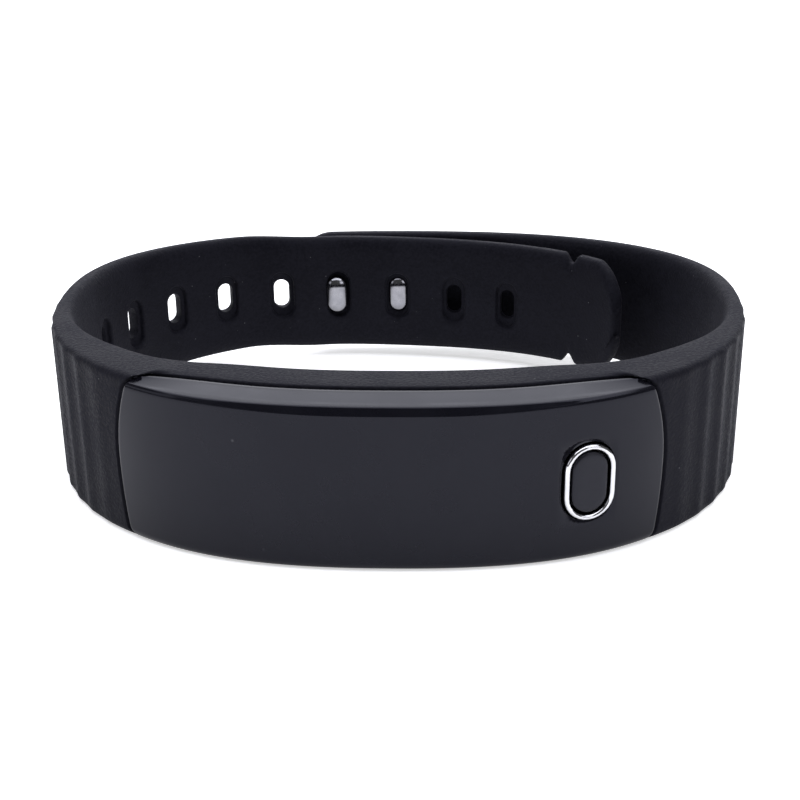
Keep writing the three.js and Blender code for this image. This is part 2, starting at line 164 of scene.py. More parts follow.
# finishes
def grainTree():
    # fine moulded grain, and slow patches that shift its tone
    tree = newTree("mouldGrain", "ShaderNodeTree")
    socket(tree, "Grain Size", "INPUT", "NodeSocketFloat", 0.0001)
    socket(tree, "Patch Size", "INPUT", "NodeSocketFloat", 0.004)
    socket(tree, "Height", "OUTPUT", "NodeSocketFloat")
    socket(tree, "Patches", "OUTPUT", "NodeSocketFloat")
    inside = put(tree, "NodeGroupInput")
    outside = put(tree, "NodeGroupOutput")
    place = put(tree, "ShaderNodeTexCoord").outputs["Object"]
    fine = put(tree, "ShaderNodeTexNoise", inputs={"Detail": 3.0, "Roughness": 0.6})
    wire(tree, place, fine.inputs["Vector"])
    wire(tree, mathNode(tree, "DIVIDE", 1.0, inside.outputs["Grain Size"]), fine.inputs["Scale"])
    slow = put(tree, "ShaderNodeTexNoise", inputs={"Detail": 4.0, "Roughness": 0.55})
    wire(tree, place, slow.inputs["Vector"])
    wire(tree, mathNode(tree, "DIVIDE", 1.0, inside.outputs["Patch Size"]), slow.inputs["Scale"])
    wire(tree, fine.outputs[0], outside.inputs["Height"])
    wire(tree, spread(tree, slow.outputs[0], 0.32, 0.68, 0.0, 1.0), outside.inputs["Patches"])
    return tree


def dustTree():
    # tiny pale specks of lint, scattered
    tree = newTree("dustSpecks", "ShaderNodeTree")
    socket(tree, "Spacing", "INPUT", "NodeSocketFloat", 0.001)
    socket(tree, "Speck", "INPUT", "NodeSocketFloat", 0.08)
    socket(tree, "Share", "INPUT", "NodeSocketFloat", 0.3)
    socket(tree, "Mask", "OUTPUT", "NodeSocketFloat")
    inside = put(tree, "NodeGroupInput")
    outside = put(tree, "NodeGroupOutput")
    cells = put(tree, "ShaderNodeTexVoronoi", feature="F1", inputs={"Randomness": 1.0})
    wire(tree, put(tree, "ShaderNodeTexCoord").outputs["Object"], cells.inputs["Vector"])
    wire(tree, mathNode(tree, "DIVIDE", 1.0, inside.outputs["Spacing"]), cells.inputs["Scale"])
    split = put(tree, "ShaderNodeSeparateColor")
    wire(tree, cells.outputs["Color"], split.inputs["Color"])
    chosen = mathNode(tree, "LESS_THAN", split.outputs[0], inside.outputs["Share"])
    dot = spread(tree, cells.outputs["Distance"], 0.0, inside.outputs["Speck"], 1.0, 0.0)
    faint = mathNode(tree, "MULTIPLY", dot, split.outputs[1])
    wire(tree, mathNode(tree, "MULTIPLY", faint, chosen), outside.inputs["Mask"])
    return tree


def hairlineTree():
    # long thin rub marks in one direction
    tree = newTree("hairlines", "ShaderNodeTree")
    socket(tree, "Width", "INPUT", "NodeSocketFloat", 0.00006)
    socket(tree, "Stretch", "INPUT", "NodeSocketFloat", 0.05)
    socket(tree, "Mask", "OUTPUT", "NodeSocketFloat")
    inside = put(tree, "NodeGroupInput")
    outside = put(tree, "NodeGroupOutput")
    squeeze = put(tree, "ShaderNodeCombineXYZ", inputs={"X": 1.0, "Y": 1.0})
    wire(tree, inside.outputs["Stretch"], squeeze.inputs["Z"])
    scaled = put(tree, "ShaderNodeVectorMath", operation="MULTIPLY")
    wire(tree, put(tree, "ShaderNodeTexCoord").outputs["Object"], scaled.inputs[0])
    wire(tree, squeeze.outputs[0], scaled.inputs[1])
    lines = put(tree, "ShaderNodeTexNoise", inputs={"Detail": 2.0, "Roughness": 0.5})
    wire(tree, scaled.outputs[0], lines.inputs["Vector"])
    wire(tree, mathNode(tree, "DIVIDE", 1.0, inside.outputs["Width"]), lines.inputs["Scale"])
    wire(tree, spread(tree, lines.outputs[0], 0.35, 0.7, 0.0, 1.0), outside.inputs["Mask"])
    return tree


mouldGrain = grainTree()
dustSpecks = dustTree()
hairlines = hairlineTree()


def mixColor(tree, factor, a, b):
    node = put(tree, "ShaderNodeMix", data_type="RGBA")
    wire(tree, factor, node.inputs["Factor"])
    for name, value in (("A", a), ("B", b)):
        target = [i for i in node.inputs if i.name == name and i.type == "RGBA"][0]
        if isinstance(value, tuple):
            target.default_value = (*value, 1.0)
        else:
            wire(tree, value, target)
    return [o for o in node.outputs if o.type == "RGBA"][0]


def finish(name, color, colorTo, rough, roughTo, metal=0.0, grain=0.1, grainHeight=0.0, patch=4.0,
           mottle=0.0, dust=0.0, dustSpacing=1.0, rubWidth=0.0, rubStretch=0.05, shader=None):
    # grain, patch, dust and rub sizes are in millimetres
    made = bpy.data.materials.new(name)
    made.use_nodes = True
    tree = made.node_tree
    main = tree.nodes["Principled BSDF"]
    main.inputs["Metallic"].default_value = metal
    for key, value in (shader or {}).items():
        main.inputs[key].default_value = value
    surface = put(tree, "ShaderNodeGroup", node_tree=mouldGrain)
    surface.inputs["Grain Size"].default_value = grain * 0.001
    surface.inputs["Patch Size"].default_value = patch * 0.001
    amount = surface.outputs["Patches"]
    if mottle:
        fine = spread(tree, surface.outputs["Height"], 0.36, 0.64, -mottle, mottle)
        amount = mathNode(tree, "ADD", amount, fine, clamp=True)
    tint = mixColor(tree, amount, color, colorTo)
    if rubWidth:
        rubbed = put(tree, "ShaderNodeGroup", node_tree=hairlines)
        rubbed.inputs["Width"].default_value = rubWidth * 0.001
        rubbed.inputs["Stretch"].default_value = rubStretch
        amount = mathNode(tree, "MULTIPLY", amount, rubbed.outputs["Mask"])
    roughness = spread(tree, amount, 0.0, 1.0, rough, roughTo)
    if dust:
        specks = put(tree, "ShaderNodeGroup", node_tree=dustSpecks)
        specks.inputs["Spacing"].default_value = dustSpacing * 0.001
        specks.inputs["Share"].default_value = dust
        tint = mixColor(tree, specks.outputs["Mask"], tint, (0.22, 0.22, 0.23))
        roughness = mathNode(tree, "MAXIMUM", roughness, specks.outputs["Mask"])
    wire(tree, tint, main.inputs["Base Color"])
    wire(tree, roughness, main.inputs["Roughness"])
    if grainHeight:
        bump = put(tree, "ShaderNodeBump", inputs={"Strength": 1.0, "Distance": grainHeight * 0.001})
        wire(tree, surface.outputs["Height"], bump.inputs["Height"])
        wire(tree, bump.outputs["Normal"], main.inputs["Normal"])
    return made


siliconeBlack = finish("siliconeBlack", (0.0044, 0.0044, 0.0072), (0.0090, 0.0090, 0.0132), 0.57, 0.74,
                       grain=0.32, grainHeight=0.085, patch=6.0, mottle=0.8, dust=0.22, dustSpacing=0.9,
                       shader={"Specular IOR Level": 0.11, "Specular Tint": (0.86, 0.86, 1.0, 1.0),
                               "Sheen Weight": 0.02, "Sheen Roughness": 0.4,
                               "Sheen Tint": (0.85, 0.85, 1.0, 1.0)})
coverGloss = finish("coverGloss", (0.0040, 0.0040, 0.0065), (0.0058, 0.0058, 0.0085), 0.10, 0.17,
                    grain=0.25, grainHeight=0.0008, patch=5.0, dust=0.05, dustSpacing=2.2,
                    shader={"Specular IOR Level": 0.225, "Specular Tint": (0.84, 0.85, 1.0, 1.0)})
ringChrome = finish("ringChrome", (0.62, 0.62, 0.64), (0.72, 0.72, 0.74), 0.10, 0.20, metal=1.0,
                    grain=0.2, grainHeight=0.0004, patch=1.5, rubWidth=0.05)
capSatin = finish("capSatin", (0.0055, 0.0055, 0.0075), (0.0085, 0.0085, 0.0110), 0.34, 0.44,
                  grain=0.06, grainHeight=0.002, patch=2.0, rubWidth=0.06,
                  shader={"Specular IOR Level": 0.30, "Specular Tint": (0.84, 0.85, 1.0, 1.0)})
studSteel = finish("studSteel", (0.22, 0.22, 0.24), (0.30, 0.30, 0.32), 0.14, 0.26, metal=1.0,
                   grain=0.15, grainHeight=0.0006, patch=1.0, rubWidth=0.04)
shellPlastic = finish("shellPlastic", (0.010, 0.010, 0.011), (0.016, 0.016, 0.018), 0.45, 0.6,
                      grain=0.08, grainHeight=0.004, patch=3.0)
sealRubber = finish("sealRubber", (0.030, 0.031, 0.034), (0.042, 0.043, 0.047), 0.7, 0.85,
                    grain=0.12, grainHeight=0.005, patch=2.0)
brushedSteel = finish("brushedSteel", (0.46, 0.47, 0.49), (0.58, 0.59, 0.61), 0.22, 0.40, metal=1.0,
                      grain=0.1, grainHeight=0.001, patch=2.0, rubWidth=0.04, rubStretch=0.03)
boardGreen = finish("boardGreen", (0.006, 0.060, 0.028), (0.010, 0.085, 0.040), 0.35, 0.5,
                    grain=0.3, grainHeight=0.004, patch=1.2)
chipBlack = finish("chipBlack", (0.010, 0.010, 0.011), (0.018, 0.018, 0.019), 0.4, 0.55,
                   grain=0.05, grainHeight=0.003, patch=0.8)
cellWrap = finish("cellWrap", (0.30, 0.31, 0.33), (0.40, 0.41, 0.43), 0.25, 0.42, metal=0.8,
                  grain=0.5, grainHeight=0.01, patch=2.5)
platedGold = finish("platedGold", (0.62, 0.43, 0.15), (0.74, 0.54, 0.22), 0.16, 0.3, metal=1.0,
                    grain=0.1, grainHeight=0.0006, patch=0.8, rubWidth=0.03)
panelGlass = finish("panelGlass", (0.004, 0.004, 0.006), (0.007, 0.007, 0.010), 0.08, 0.16,
                    grain=0.3, grainHeight=0.0003, patch=3.0)
print("finishes made")


# mesh helpers
def newShell():
    return {"points": [], "faces": [], "sharp": []}


def addRing(shell, points):
    first = len(shell["points"])
    shell["points"] += [tuple(p) for p in points]
    return list(range(first, first + len(points)))


def bridge(shell, a, b):
    count = len(a)
    for i in range(count):
        j = (i + 1) % count
        shell["faces"].append((a[i], a[j], b[j], b[i]))


def closeRing(shell, ring):
    # two rows of quads across the ring, so a flat cap has no long thin triangles
    half = len(ring) // 2
    for i in range(half - 1):
        j = len(ring) - 1 - i
        k = j - 1
        if k == i + 1:
            shell["faces"].append((ring[i], ring[i + 1], ring[j]))
        else:
            shell["faces"].append((ring[i], ring[i + 1], ring[k], ring[j]))
    shell["sharp"] += [(ring[i], ring[(i + 1) % len(ring)]) for i in range(len(ring))]


def makeObject(name, shell, toSpace, material):
    points = np.array(shell["points"], float)
    places = toSpace(points[:, 0], points[:, 1], points[:, 2])
    used = sorted({v for face in shell["faces"] for v in face})
    remap = {v: i for i, v in enumerate(used)}
    faces = [tuple(remap[v] for v in face) for face in shell["faces"]]
    mesh = bpy.data.meshes.new(name)
    mesh.from_pydata([tuple(places[v]) for v in used], [], faces)
    work = bmesh.new()
    work.from_mesh(mesh)
    work.verts.ensure_lookup_table()
    bmesh.ops.recalc_face_normals(work, faces=work.faces)
    if work.calc_volume(signed=True) < 0:
        bmesh.ops.reverse_faces(work, faces=work.faces)
    for face in work.faces:
        face.smooth = True
    for a, b in shell["sharp"]:
        if a in remap and b in remap:
            edge = work.edges.get((work.verts[remap[a]], work.verts[remap[b]]))
            if edge:
                edge.smooth = False
    openEdges = [e for e in work.edges if len(e.link_faces) != 2]
    work.to_mesh(mesh)
    work.free()
    if openEdges:
        print("  open edges on", name, len(openEdges))
    mesh.materials.append(material)
    obj = bpy.data.objects.new(name, mesh)
    bpy.context.scene.collection.objects.link(obj)
    shell["used"] = used
    return obj


def stadiumReach(width, height, du, dv):
    # how far the edge of a stadium is from its middle, in the unit direction (du, dv)
    if width > height:
        return stadiumReach(height, width, dv, du)
    r = width / 2
    straight = height / 2 - r
    if abs(du) > 1e-9 and abs(dv) * r / abs(du) <= straight:
        return r / abs(du)
    c = abs(dv) * straight
    return c + math.sqrt(max(0.0, c * c - straight * straight + r * r))


def arc(count):
    # from 0 to a quarter turn, without the start
    turns = [math.pi / 2 * i / count for i in range(1, count + 1)]
    return [(math.sin(a), 1 - math.cos(a)) for a in turns]


def spaced(low, high, step):
    count = max(1, int(math.ceil(abs(high - low) / step - 1e-6)))
    return [lerp(low, high, i / count) for i in range(count + 1)]


def stationList(marks, step, doubles=()):
    # marks: (position, step after it or None)
    out = []
    for (a, own), (b, _) in zip(marks[:-1], marks[1:]):
        out += spaced(a, b, own or step)[:-1]
    out.append(marks[-1][0])
    for d in doubles:
        out = [s for s in out if abs(s - d) > 0.12] + [d - 0.02, d + 0.02]
    return sorted(out)


def roundedPath(k, face, count):
    # over the top, from the outer face to the inner one
    path = []
    for along, drop in arc(count):
        outward = face + k["outerEdge"] * drop * k["outerRatio"]
        path.append((outward, k["top"] - k["outerEdge"] * (1 - along)))
    flatTo = k["inner"] - k["innerDepth"]
    path += [(lerp(path[-1][0], flatTo, t), k["top"]) for t in (0.33, 0.67, 1.0)]
    for along, drop in arc(count):
        path.append((flatTo + k["innerDepth"] * along, k["top"] - k["innerEdge"] * drop))
    return path


def sweepBand(shell, stations, sectionOf, holes, rows):
    # A closed tube along the band. sectionOf(s) gives the section; holes are punched through it.
    rings = []
    for s in stations:
        k = sectionOf(s)
        zc, b = k["middle"], k["reach"]
        lowRows = k.get("lowRows") or spaced(k["bottom"] + k["outerEdge"], zc - b, 99)
        topRows = k.get("topRows") or spaced(zc + b, k["top"] - k["outerEdge"], 99)
        low = np.interp(np.linspace(0, 1, rows["side"] + 1), np.linspace(0, 1, len(lowRows)), lowRows)
        top = np.interp(np.linspace(0, 1, rows["side"] + 1), np.linspace(0, 1, len(topRows)), topRows)
        mid = np.linspace(zc - b, zc + b, rows["hole"] + 1)
        outerZ = list(low) + list(mid[1:-1]) + list(top)
        ring = [(k["warp"](s, z), k["outer"](s, z), z) for z in outerZ]
        path = k["path"](s) if "path" in k else roundedPath(k, ring[-1][1], rows["arc"])
        ring += [(k["warp"](s, z), depth, z) for depth, z in path]
        innerLow = np.linspace(loop["height"] - path[-1][1], zc - b, rows["side"] + 1)
        innerTop = np.linspace(zc + b, path[-1][1], rows["side"] + 1)
        innerZ = list(innerLow) + list(mid[1:-1]) + list(innerTop)
        ring += [(k["warp"](s, z), k["inner"], z) for z in innerZ[::-1][1:]]
        mirrored = [(depth, loop["height"] - z) for depth, z in path[:-1][::-1]]
        under = k["under"](s) if "under" in k else mirrored
        ring += [(k["warp"](s, z), depth, z) for depth, z in under]
        pathCount = len(path)
        rings.append(addRing(shell, ring))
    outerCount = 2 * rows["side"] + rows["hole"] + 1
    innerStart = outerCount + pathCount - 1
    patches = []
    for hole in holes:
        i0 = int(np.argmin(np.abs(np.array(stations) - (hole["s"] - hole["reach"]))))
        i1 = int(np.argmin(np.abs(np.array(stations) - (hole["s"] + hole["reach"]))))
        patches.append((i0, i1, hole))
    for i in range(len(stations) - 1):
        count = len(rings[i])
        for j in range(count):
            inOuter = rows["side"] <= j < rows["side"] + rows["hole"]
            back = j - innerStart
            inInner = rows["side"] <= back < rows["side"] + rows["hole"]
            if (inOuter or inInner) and any(i0 <= i < i1 for i0, i1, _ in patches):
                continue
            k = (j + 1) % count
            shell["faces"].append((rings[i][j], rings[i][k], rings[i + 1][k], rings[i + 1][j]))
    closeRing(shell, rings[0])
    closeRing(shell, rings[-1])
    for i0, i1, hole in patches:
        def border(columnOf):
            first, last = rows["side"], rows["side"] + rows["hole"]
            loopIds = [rings[i0][columnOf(j)] for j in range(first, last)]
            loopIds += [rings[i][columnOf(last)] for i in range(i0, i1)]
            loopIds += [rings[i1][columnOf(j)] for j in range(last, first, -1)]
            loopIds += [rings[i][columnOf(first)] for i in range(i1, i0, -1)]
            return loopIds
        outerLoop = border(lambda j: j)
        innerLoop = border(lambda j: innerStart + 2 * rows["side"] + rows["hole"] - j)
        k = sectionOf(hole["s"])
        reach = []
        for v in innerLoop:
            s, _, z = shell["points"][v]
            length = math.hypot(s - hole["s"], z - hole["z"])
            reach.append(((s - hole["s"]) / length, (z - hole["z"]) / length))
        previous = innerLoop
        for width, height, side, lift in hole["rings"]:
            ring = []
            for du, dv in reach:
                t = stadiumReach(width, height, du, dv)
                s, z = hole["s"] + du * t, hole["z"] + dv * t
                own = sectionOf(s)
                depth = own["inner"] - lift if side == "inner" else own["outer"](s, z) + lift
                ring.append((s, depth, z))
            ring = addRing(shell, ring)
            bridge(shell, previous, ring)
            previous = ring
        bridge(shell, previous, outerLoop)
    return rings


# silicone band
core = {
    "tailSeam": -26.6,             # p of the seam with the tail, on the left side
    "from": -(rearMiddle - 26.6),
    "to": rearMiddle - 17.6,       # seam with the outer strap, on the right
    "step": 0.8,
    "fineStep": 0.36,
    "strap": 1.9,                  # thickness at the sides
    "module": 7.15,                # thickness behind the module
    "thinning": (12, 51),          # where one runs into the other
    "skin": 1.0,                   # silicone behind the module's shell
    "seatGap": 0.25,               # between the cover and its seat
    "outerEdge": 0.75,             # roundings
    "innerEdge": 0.6,
    "lip": 1.2,                    # height of the rims over and under the module
    "seatEdge": (0.4, 0.6),        # rounding beside the cover, and how deep it is for its height
    "thinEdge": 0.5,
    "softEdge": (2.0, 0.85),       # the inner face's broad rounding at the sides: height, depth
    "window": (9.0, 4.4),          # opening for the charging contacts
}
cover = {
    "end": 25.75,
    "draw": (0.75, 1.9),        # how much shorter it is at its lower and upper corners
    "corner": 1.2,
    "proud": 0.75,
    "rear": 2.5,
    "rearEnd": 0.55,
    "taperFrom": 13.0,          # the rear edge curves round to the ends from here
    "taperPower": 2.2,
    "span": 27.2,
    "wall": 1.0,
    "topSlope": (0.36, 15.36),  # where the top face meets the chamfer: depth behind the face, and z
    "endSlope": (0.15, 15.34),  # the same at the ends, where the chamfer runs out
    "chamfer": (14.7, 15.2),    # z where the chamfer meets the face, in the middle and at the ends
    "shell": 21.5,              # the hollow for the inner parts ends here
    "warpIn": (14.0, 25.5),     # how far along the ends' shape is felt, in the cover and in the band
    "warpOut": (27.5, 32.0),
    "topEdge": 0.15,            # gap over and under the cover
    "lip": 0.14,
    "endRound": (0.4, 0.3),     # rounding of the front at the ends: along, back
    "lowRound": (0.42, 0.75),   # rounding of the lower front edge: back, up
}
holeRow = {
    "columns": 1.9,
    "rows": 3.3,
    "recess": (2.8, 5.5),
    "slot": (1.9, 3.5),
    "floor": 0.55,
    "drop": (0.15, 0.5),   # below mid-height, and how much more at the tail's end
    "places": [-44.33, -37.22, -30.12, -23.02, -15.92, -8.82, -1.37, 5.73, 12.82],
}
strap = {
    "end": 13.3,
    "overClasp": 1.5,
    "tip": 0.9,
    "tipFull": -10,        # p where the tip has reached the thickness over the clasp
    "thicker": (3, 20),    # p where that runs into the thickness at the sides
    "corner": 4.0,
    "nose": (0.45, 0.3),   # rounding of the very end: along, in from each face
    "edge": 0.5,
    "softFrom": (9, 17.5),
}
tail = {
    "end": 32.6,
    "thickness": 1.7,
    "step": 1.8,
    "lean": 3.6,
    "leanFrom": -9.0,
    "notch": 22.4,
    "notchWidth": 2.8,
    "notchDepth": 1.1,
    "tip": 7.8,
    "tipPower": 2.1,
    "nose": (0.9, 0.8),
    "edge": 0.5,
    "softEdge": (1.7, 0.75),
    "slim": 0.2,
}


def backDepth(s):
    return lerp(core["module"], core["strap"], smooth(*core["thinning"], abs(s)))


def coverRear(s):
    past = np.clip((abs(s) - cover["taperFrom"]) / (cover["end"] - cover["taperFrom"]), 0.0, 1.0)
    power = cover["taperPower"]
    return lerp(cover["rearEnd"], cover["rear"], (1 - past ** power) ** (1 / power))


def coverShift(s):
    return -cover["proud"] * max(0.0, 1 - (s / cover["span"]) ** 2)


def endDraw(z):
    # how much the cover's end draws in away from mid-height, with its rounded corners
    c = cover["corner"]
    low, high = cover["draw"]
    fromMiddle = 2 * z / loop["height"] - 1
    draw = (high if fromMiddle > 0 else low) * fromMiddle ** 2
    past = min(1.0, max(0.0, abs(z - midHeight) - (midHeight - c)) / c)
    return draw + c * (1 - math.sqrt(max(0.0, 1 - past * past)))


def endWarp(s, z):
    amount = smooth(*cover["warpIn"], abs(s)) * (1 - smooth(*cover["warpOut"], abs(s)))
    return s - math.copysign(1, s) * endDraw(z) * float(amount)


def outerStrapDepth(p):
    over = lerp(strap["tip"], strap["overClasp"], smooth(-strap["end"], strap["tipFull"], p))
    return over + (core["strap"] - strap["overClasp"]) * smooth(*strap["thicker"], p)


def holeMiddle(p):
    low, lower = holeRow["drop"]
    return midHeight - low - lower * smooth(tail["leanFrom"], 14, p)


moduleRows = [0.9, 1.19, 1.21, 2.0, 2.9, 3.8, 4.5]


def coreSection(s):
    inset = float(edgeInset(s))
    side = abs(s)
    right = rearMiddle - s
    inner = float(outerStrapDepth(right) if s > 60 else backDepth(s))
    seatEnd = cover["end"] + core["seatGap"]

    def outer(at, z):
        if side > seatEnd:
            return 0.0
        if side < cover["shell"] and core["lip"] < z < loop["height"] - core["lip"]:
            return float(backDepth(s)) - core["skin"]
        return float(coverRear(s)) + core["seatGap"]

    inModule = side < 30
    soft = float(1 - smooth(34, 46, side))
    thick = float(smooth(1.7, 4.0, inner - (coverRear(s) + core["seatGap"] if side <= seatEnd else 0)))
    seatEdge, seatRatio = core["seatEdge"]
    edge = lerp(core["thinEdge"], core["outerEdge"], thick) if side > seatEnd else seatEdge
    section = {
        "outer": outer, "inner": inner, "bottom": inset, "top": loop["height"] - inset,
        "middle": float(holeMiddle(-s - rearMiddle)) if s < -45 else midHeight,
        "reach": holeRow["rows"],
        "outerEdge": edge, "outerRatio": 1.0 if side > seatEnd else seatRatio,
        "innerEdge": lerp(core["softEdge"][0], core["innerEdge"], soft),
        "innerDepth": lerp(core["softEdge"][1], core["innerEdge"], soft),
        "warp": endWarp,
    }
    if inModule:
        section["lowRows"] = [inset + edge, *moduleRows, midHeight - holeRow["rows"]]
        section["topRows"] = [loop["height"] - z for z in section["lowRows"]][::-1]
    return section


def holeRings(floor):
    w, h = holeRow["recess"]
    a, b = holeRow["slot"]
    inward = [(w + 0.55, h + 0.55, 0.0), (w + 0.28, h + 0.28, 0.04), (w + 0.1, h + 0.1, 0.14),
              (w, h, 0.26), (w - 0.06, h - 0.06, floor - 0.1), (w - 0.2, h - 0.2, floor),
              (a + 0.22, b + 0.22, floor + 0.02), (a + 0.06, b + 0.06, floor + 0.06), (a, b, floor + 0.16)]
    through = [(a, b, 0.15), (a + 0.05, b + 0.05, 0.05), (a + 0.2, b + 0.2, 0.0)]
    return [(w, h, "inner", d) for w, h, d in inward] + [(w, h, "outer", d) for w, h, d in through]


def holeAt(p, thickness):
    return {"s": -(rearMiddle + p), "z": float(holeMiddle(p)), "reach": holeRow["columns"],
            "rings": holeRings(min(holeRow["floor"], thickness * 0.5))}


def holeMarks(holes, low, high):
    marks = [(low, None)]
    for hole in sorted(holes, key=lambda h: h["s"]):
        marks += [(hole["s"] - hole["reach"], 2 * hole["reach"] / 10), (hole["s"] + hole["reach"], None)]
    return marks + [(high, None)]


bandRows = {"side": 8, "hole": 12, "arc": 5}
strapRows = {"side": 5, "hole": 12, "arc": 5}


def makeCore():
    holes = [holeAt(p, core["strap"]) for p in holeRow["places"] if p < core["tailSeam"]]
    w, h = core["window"]
    window = {"s": 0.0, "z": midHeight, "reach": 5.4, "rings": [
        (w + 0.7, h + 0.7, "inner", 0.0), (w + 0.4, h + 0.4, "inner", 0.04),
        (w + 0.1, h + 0.1, "inner", 0.2), (w, h, "inner", 0.4), (w, h, "outer", 0.1), (w, h, "outer", 0.0)]}
    marks = holeMarks(holes, core["from"], 0)[:-1]
    marks += [(-54.0, core["fineStep"]), (-26.6, 0.15), (-22.8, core["step"]), (-5.4, 0.9),
              (5.4, core["step"]), (22.8, 0.15), (26.6, core["fineStep"]), (58.0, core["step"]),
              (core["to"] - 0.06, None), (core["to"], None)]
    marks.insert(1, (core["from"] + 0.06, None))
    seat = cover["end"] + core["seatGap"]
    doubles = [-seat, -cover["shell"], cover["shell"], seat]
    shell = newShell()
    stations = stationList(marks, core["step"], doubles)
    rings = sweepBand(shell, stations, coreSection, holes + [window], bandRows)
    made = makeObject("silicone_core", shell, at, siliconeBlack)
    # what the flutes need to know about each point
    along = np.array([p[0] for p in shell["points"]])
    height = np.array([p[2] for p in shell["points"]])
    facing = np.zeros(len(shell["points"]))
    outerCount = 2 * bandRows["side"] + bandRows["hole"] + 1
    for s, ring in zip(stations, rings):
        if abs(s) > seat:
            for j in list(range(outerCount + bandRows["arc"])) + [-i - 1 for i in range(bandRows["arc"])]:
                facing[ring[j]] = 1.0
    used = np.array(shell["used"])
    for name, values in (("along", along[used]), ("height", height[used]), ("facing", facing[used])):
        layer = made.data.attributes.new(name, "FLOAT", "POINT")
        layer.data.foreach_set("value", values.astype(np.float32))
    x, y, tx, ty = station(along[used])
    layer = made.data.attributes.new("inward", "FLOAT_VECTOR", "POINT")
    layer.data.foreach_set("vector", np.stack([-ty, tx, 0 * tx], -1).astype(np.float32).ravel())
    return made


def fluteTree():
    # shallow upright flutes: each point of the outer face moves inward by its place between two crests
    tree = newTree("sideFlutes", "GeometryNodeTree")
    socket(tree, "Geometry", "INPUT", "NodeSocketGeometry")
    socket(tree, "Pitch", "INPUT", "NodeSocketFloat", 3.4)
    socket(tree, "First Crest", "INPUT", "NodeSocketFloat", 28.5)
    socket(tree, "Start", "INPUT", "NodeSocketFloat", 26.0)
    socket(tree, "End", "INPUT", "NodeSocketFloat", 54.0)
    socket(tree, "Depth", "INPUT", "NodeSocketFloat", 0.3)
    socket(tree, "Rim", "INPUT", "NodeSocketFloat", 1.0)
    socket(tree, "Material", "INPUT", "NodeSocketMaterial")
    socket(tree, "Geometry", "OUTPUT", "NodeSocketGeometry")
    inside = put(tree, "NodeGroupInput")
    outside = put(tree, "NodeGroupOutput")

    def named(name, kind="FLOAT"):
        node = put(tree, "GeometryNodeInputNamedAttribute", data_type=kind)
        node.inputs["Name"].default_value = name
        return node.outputs["Attribute"]

    distance = mathNode(tree, "ABSOLUTE", named("along"))
    fromCrest = mathNode(tree, "SUBTRACT", distance, inside.outputs["First Crest"])
    turns = mathNode(tree, "DIVIDE", fromCrest, inside.outputs["Pitch"])
    wave = mathNode(tree, "COSINE", mathNode(tree, "MULTIPLY", turns, 2 * math.pi))
    crest = mathNode(tree, "MULTIPLY", mathNode(tree, "ADD", wave, 1.0), 0.5)
    valley = mathNode(tree, "SUBTRACT", 1.0, mathNode(tree, "POWER", crest, 1.6))
    full = mathNode(tree, "ADD", inside.outputs["Start"], 7.0)
    rise = spread(tree, distance, inside.outputs["Start"], full, 0.0, 1.0)
    fall = spread(tree, distance, mathNode(tree, "SUBTRACT", inside.outputs["End"], 16.0),
                  inside.outputs["End"], 1.0, 0.0)
    fromMiddle = mathNode(tree, "ABSOLUTE", mathNode(tree, "SUBTRACT", named("height"), midHeight))
    top = mathNode(tree, "SUBTRACT", midHeight, fromMiddle)
    low = mathNode(tree, "ADD", inside.outputs["Rim"], 1.2)
    rim = spread(tree, top, inside.outputs["Rim"], low, 0.0, 1.0)
    rim.node.interpolation_type = "SMOOTHSTEP"
    amount = valley
    for factor in (rise, fall, rim, named("facing"), inside.outputs["Depth"]):
        amount = mathNode(tree, "MULTIPLY", amount, factor)
    offset = put(tree, "ShaderNodeVectorMath", operation="SCALE")
    wire(tree, named("inward", "FLOAT_VECTOR"), offset.inputs[0])
    wire(tree, mathNode(tree, "MULTIPLY", amount, 0.001), offset.inputs["Scale"])
    move = put(tree, "GeometryNodeSetPosition")
    wire(tree, inside.outputs["Geometry"], move.inputs["Geometry"])
    wire(tree, offset.outputs[0], move.inputs["Offset"])
    real = put(tree, "GeometryNodeRealizeInstances")
    wire(tree, move.outputs["Geometry"], real.inputs["Geometry"])
    paint = put(tree, "GeometryNodeSetMaterial")
    wire(tree, real.outputs["Geometry"], paint.inputs["Geometry"])
    wire(tree, inside.outputs["Material"], paint.inputs["Material"])
    wire(tree, paint.outputs["Geometry"], outside.inputs["Geometry"])
    return tree


def applyTree(obj, tree, values):
    modifier = obj.modifiers.new(tree.name, "NODES")
    modifier.node_group = tree
    for item in tree.interface.items_tree:
        if item.item_type == "SOCKET" and item.in_out == "INPUT" and item.name in values:
            modifier[item.identifier] = values[item.name]
    graph = bpy.context.evaluated_depsgraph_get()
    made = bpy.data.meshes.new_from_object(obj.evaluated_get(graph))
    obj.modifiers.remove(modifier)
    obj.data = made
    return obj


bandCore = makeCore()
flutes = {"Pitch": 3.3, "First Crest": 28.2, "Start": 25.9, "End": 58.0, "Depth": 0.27, "Rim": -0.2,
          "Material": siliconeBlack}
applyTree(bandCore, fluteTree(), flutes)
for spare in ("along", "height", "facing", "inward"):
    if spare in bandCore.data.attributes:
        bandCore.data.attributes.remove(bandCore.data.attributes[spare])
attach(bandCore, "module_and_band")
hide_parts("silicone_band")
print("silicone core:", len(bandCore.data.polygons), "faces")


